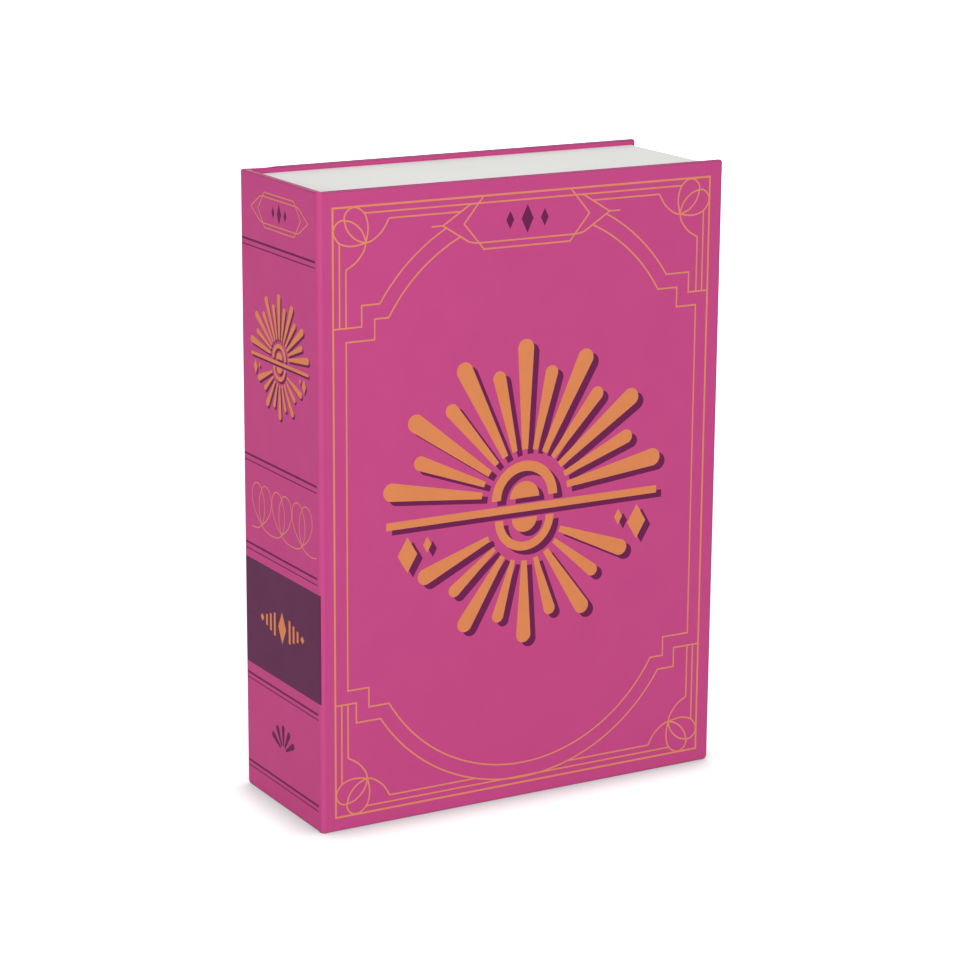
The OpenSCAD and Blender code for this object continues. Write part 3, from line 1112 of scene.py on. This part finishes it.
# %% Build the page sheet
PAGE_R = 0.5
PAGE_SHARPEST_R = 0.02
SPINE_SIDE_SHARE = 0.1
rim_low, rim_high = box_mm("tray_fore_edge_wall")
RIM_T = rim_high.x - rim_low.x


def page_ring(inset_spine, inset, y, radius):
    """A rectangle round the tray with rounded fore-edge corners, at one depth."""
    r = max(radius, PAGE_SHARPEST_R)
    line = sheet_outline((page_low.x + inset_spine, page_low.z + inset),
                         (page_high.x - inset, page_high.z - inset), r, r, ROUND_STEPS)
    return [(x, y, z) for x, z in line]


page_points, page_faces, page_smooth = [], [], []
page_rings = [(0, 0, page_high.y, PAGE_R), (0, 0, page_low.y + PAGE_R, PAGE_R)]
for a in QUARTER[1:]:
    inset = PAGE_R * (1 - math.cos(a))
    page_rings.append((inset * SPINE_SIDE_SHARE, inset,
                       page_low.y + PAGE_R * (1 - math.sin(a)), PAGE_R - inset))
page_rings.append((RIM_T, RIM_T + PAPER, page_low.y, 0))
page_rings.append((RIM_T, RIM_T + PAPER, page_low.y + PAPER, 0))
ring = None
for number, (inset_spine, inset, y, radius) in enumerate(page_rings):
    line = page_ring(inset_spine, inset, y, radius)
    new = list(range(len(page_points), len(page_points) + len(line)))
    page_points += line
    if ring:
        quads = band(ring, new) if number == 1 else band(ring + ring[:1], new + new[:1])
        page_faces += quads
        page_smooth += [number <= 1 + ROUND_STEPS] * len(quads)
    ring = new
pages = make_piece("page_block_sheet", page_points, page_faces, [page_paper],
                   [0] * len(page_faces), page_smooth)
place(pages, "box", "white_paper", "page_sheet")

# %% [markdown]
# ## The lining of the lid
# A sheet of lining paper covers the turn-ins on the inside of the lid, and
# its edge is turned down over the board beside the hinge. It is one sheet
# with rounded corners, lying on the turn-ins, with a visible paper edge.

# %% Build the lid's lining
LINING_CORNER_R = 1.2


def lid_lining():
    """The flat sheet with its edge, and the flap over the end of the board."""
    inner, outer = end_high.y, end_high.y - PAPER
    x0, z0, z1 = end_low.x - PAPER, end_low.z, end_high.z
    line = sheet_outline((x0, z0), (end_high.x, z1), LINING_CORNER_R, LINING_CORNER_R)
    count = len(line)
    points = [(x, inner, z) for x, z in line] + [(x, outer, z) for x, z in line]
    faces = [list(range(count))[::-1]] + band(range(count), range(count, 2 * count))
    flap_low = Y_FRONT + HINGE_T + PAPER
    base = len(points)
    points += [(x0, inner, z0), (x0, inner, z1), (x0, flap_low, z1), (x0, flap_low, z0)]
    faces.append([base, base + 1, base + 2, base + 3])
    return points, faces


lid_points, lid_faces = lid_lining()
lid_paper = make_piece("front_cover_lining", lid_points, lid_faces, [lining_paper],
                       [0] * len(lid_faces), [False] * len(lid_faces))
place(lid_paper, "front_cover", "lining_paper", "front_endpaper")

# %% [markdown]
# ## A white studio
# The box stands on a white sweep, as in a product studio. To make floor and
# background white with more light would bleach the box as well. So they only
# look white: the rays that show them, which are those from the camera, off
# gloss and through something clear, meet a little glow of their own there,
# and the light that falls on the box stays as it is. One helper tells such
# rays from the rest, for the floor and for the world alike.

# %% The rays that show the background
def background_rays(tree):
    """1 for a ray from the camera, off gloss or through something clear, and 0 for any other."""
    rays = add_node(tree, "ShaderNodeLightPath")
    mirrored = add_node(tree, "ShaderNodeMath", None,
                        {0: rays.outputs["Is Glossy Ray"], 1: rays.outputs["Is Transmission Ray"]},
                        operation="MAXIMUM")
    seen = add_node(tree, "ShaderNodeMath", None,
                    {0: rays.outputs["Is Camera Ray"], 1: mirrored.outputs["Value"]},
                    operation="MAXIMUM")
    return seen.outputs["Value"]


print("the background shows to camera, glossy and transmission rays")

# %% The floor
FLOOR_HALF = 9.0
FLOOR_STEPS = 6
row = [FLOOR_HALF * (2 * i / FLOOR_STEPS - 1) for i in range(FLOOR_STEPS + 1)]
floor_points = [(x, y, 0) for y in row for x in row]
rows = [range(len(row) * j, len(row) * (j + 1)) for j in range(len(row))]
floor_faces = [quad for a, b in zip(rows, rows[1:]) for quad in band(a, b)]
floor_mesh = bpy.data.meshes.new("studio_floor")
floor_mesh.from_pydata(floor_points, [], floor_faces)
add_object("studio_floor", floor_mesh)
print("the floor is", 2 * FLOOR_HALF, "m wide")

# %% [markdown]
# ## The floor's finish
# The floor has to be white and still show the soft shadow that the box casts.
# Its diffuse part takes the shadow from the lamps, and the glow lifts it to
# white: weakly by the box, so that the shadow stays, and fully from a metre
# away. Within 16 mm of the box ambient occlusion darkens both parts, which
# gives the thin contact shadow. Rays that only carry light meet a pale grey.

# %% White sweep
CONTACT_MM = 16
CONTACT_DARKEST = 0.55
GLOW_NEAR = 0.68
GLOW_GROWS = (0.3, 1.0)
FLOOR_WHITE = 0.67
FLOOR_GREY = "#CFCFCF"
floor_finish, tree, floor_spot = new_material("white studio sweep")
seen = background_rays(tree)
contact = add_node(tree, "ShaderNodeAmbientOcclusion", {"Distance": CONTACT_MM * MM}, samples=8)
contact_map = add_node(tree, "ShaderNodeMapRange",
                       {"From Min": 0.5, "To Min": CONTACT_DARKEST, "To Max": 1.0},
                       {"Value": contact.outputs["AO"]})
contact_level = contact_map.outputs["Result"]
far = add_node(tree, "ShaderNodeVectorMath", None, {0: floor_spot}, operation="LENGTH")
glow = add_node(tree, "ShaderNodeMapRange",
                {"From Min": GLOW_GROWS[0], "From Max": GLOW_GROWS[1],
                 "To Min": GLOW_NEAR, "To Max": 1.0},
                {"Value": far.outputs["Value"]})
contact_glow = add_node(tree, "ShaderNodeMath", None,
                        {0: contact_level, 1: glow.outputs["Result"]}, operation="MULTIPLY")
seen_glow = add_node(tree, "ShaderNodeMath", None,
                     {0: contact_glow.outputs["Value"], 1: seen}, operation="MULTIPLY")
floor_white = add_node(tree, "ShaderNodeMath", {1: FLOOR_WHITE}, {0: contact_level},
                       operation="MULTIPLY")
floor_colour = add_node(tree, "ShaderNodeMix", {"A": linear(FLOOR_GREY)},
                        {"Factor": seen, "B": floor_white.outputs["Value"]}, data_type="RGBA")
floor_matt = add_node(tree, "ShaderNodeBsdfDiffuse", None,
                      {"Color": floor_colour.outputs["Result"]})
floor_glow = add_node(tree, "ShaderNodeEmission", {"Color": (1, 1, 1, 1)},
                      {"Strength": seen_glow.outputs["Value"]})
floor_sum = add_node(tree, "ShaderNodeAddShader", None,
                     {0: floor_matt.outputs["BSDF"], 1: floor_glow.outputs["Emission"]})
add_node(tree, "ShaderNodeOutputMaterial", None, {"Surface": floor_sum.outputs["Shader"]})
floor_mesh.materials.append(floor_finish)
print("the glow rises from", GLOW_NEAR, "to 1 between", GLOW_GROWS[0], "and", GLOW_GROWS[1], "m")

# %% The white world
AMBIENT = 0.49
world = bpy.data.worlds.new("white studio")
bpy.context.scene.world = world
world.use_nodes = True
world.node_tree.nodes.clear()
level = add_node(world.node_tree, "ShaderNodeMapRange",
                 {"To Min": AMBIENT, "To Max": 1.0}, {"Value": background_rays(world.node_tree)})
sky = add_node(world.node_tree, "ShaderNodeBackground", {"Color": (1, 1, 1, 1)},
               {"Strength": level.outputs["Result"]})
add_node(world.node_tree, "ShaderNodeOutputWorld", None, {"Surface": sky.outputs["Background"]})
print("the world lights the box at", AMBIENT, "and shows at 1")

# %% [markdown]
# ## Soft light
# A product like this is lit by large softboxes, which leave no hard shadow.
# The key stands in front of the spine and the cover, so that both are lit and
# the fold between them shines. A weak one overhead lifts the head, and a fill
# behind keeps the back from going dark. Together with the world they light a
# surface at a level at which its colour renders about as it is written.

# %% Soft lamp
def softbox(name, azimuth, elevation, distance, size, watts):
    """A square lamp that faces the middle of the box, in degrees, metres and watts. Azimuth 0 is in
    front of the cover, and it grows towards the fore edge."""
    lamp = bpy.data.lights.new(name, "AREA")
    lamp.size = size
    lamp.energy = watts
    holder = add_object(name, lamp)
    turn, lift = math.radians(azimuth), math.radians(elevation)
    away = Vector((math.sin(turn) * math.cos(lift), -math.cos(turn) * math.cos(lift),
                   math.sin(lift)))
    holder.location = Vector((0, 0, HEIGHT * MM / 2)) + away * distance
    holder.rotation_euler = away.to_track_quat("Z", "Y").to_euler()
    print(name, "at", [round(c, 2) for c in holder.location], watts, "W")


softbox("key softbox", -37, 16.4, 2.4, 1.8, 38)
softbox("overhead softbox", 150, 85, 2.0, 0.5, 4)
softbox("back fill", 150, 8, 2.4, 1.8, 26)

# %% [markdown]
# ## The camera
# The photograph's camera was worked out from the corners of the box: its
# direction, its roll, its distance and its lens. Distances are given in
# heights of the box, from the middle of its front corner, and the lens
# in pixels, which are turned into millimetres on a sensor 36 mm wide.

# %% Camera
CAMERA_AZIMUTH = -29.909
CAMERA_ELEVATION = 14.537
CAMERA_ROLL = 0.385
CAMERA_DISTANCE = 4.5254
CAMERA_SIDE = 0.2400
CAMERA_UP = 0.0640
FOCAL_PIXELS = 3009.6
FRAME_PIXELS = 960
SENSOR_MM = 36.0
azimuth = math.radians(CAMERA_AZIMUTH)
elevation = math.radians(CAMERA_ELEVATION)
roll = math.radians(CAMERA_ROLL)
towards = Vector((math.sin(azimuth) * math.cos(elevation),
                  -math.cos(azimuth) * math.cos(elevation), math.sin(elevation)))
level_right = Vector((math.cos(azimuth), math.sin(azimuth), 0))
level_up = towards.cross(level_right)
right = level_right * math.cos(roll) + level_up * math.sin(roll)
up = level_up * math.cos(roll) - level_right * math.sin(roll)
tall = HEIGHT * MM
target = Vector((X_SPINE * MM, Y_FRONT * MM, tall / 2))
spot = target + tall * (towards * CAMERA_DISTANCE + right * CAMERA_SIDE + up * CAMERA_UP)
lens = bpy.data.cameras.new("photo camera")
lens.sensor_width = SENSOR_MM
lens.lens = FOCAL_PIXELS / FRAME_PIXELS * SENSOR_MM
camera = add_object("photo camera", lens)
turned = Matrix((right, up, towards)).transposed().to_4x4()
camera.matrix_world = Matrix.Translation(spot) @ turned
bpy.context.scene.camera = camera
print("camera", [round(c, 3) for c in spot], "lens", round(lens.lens, 1), "mm")

bpy.context.scene.view_settings.view_transform = "Standard"
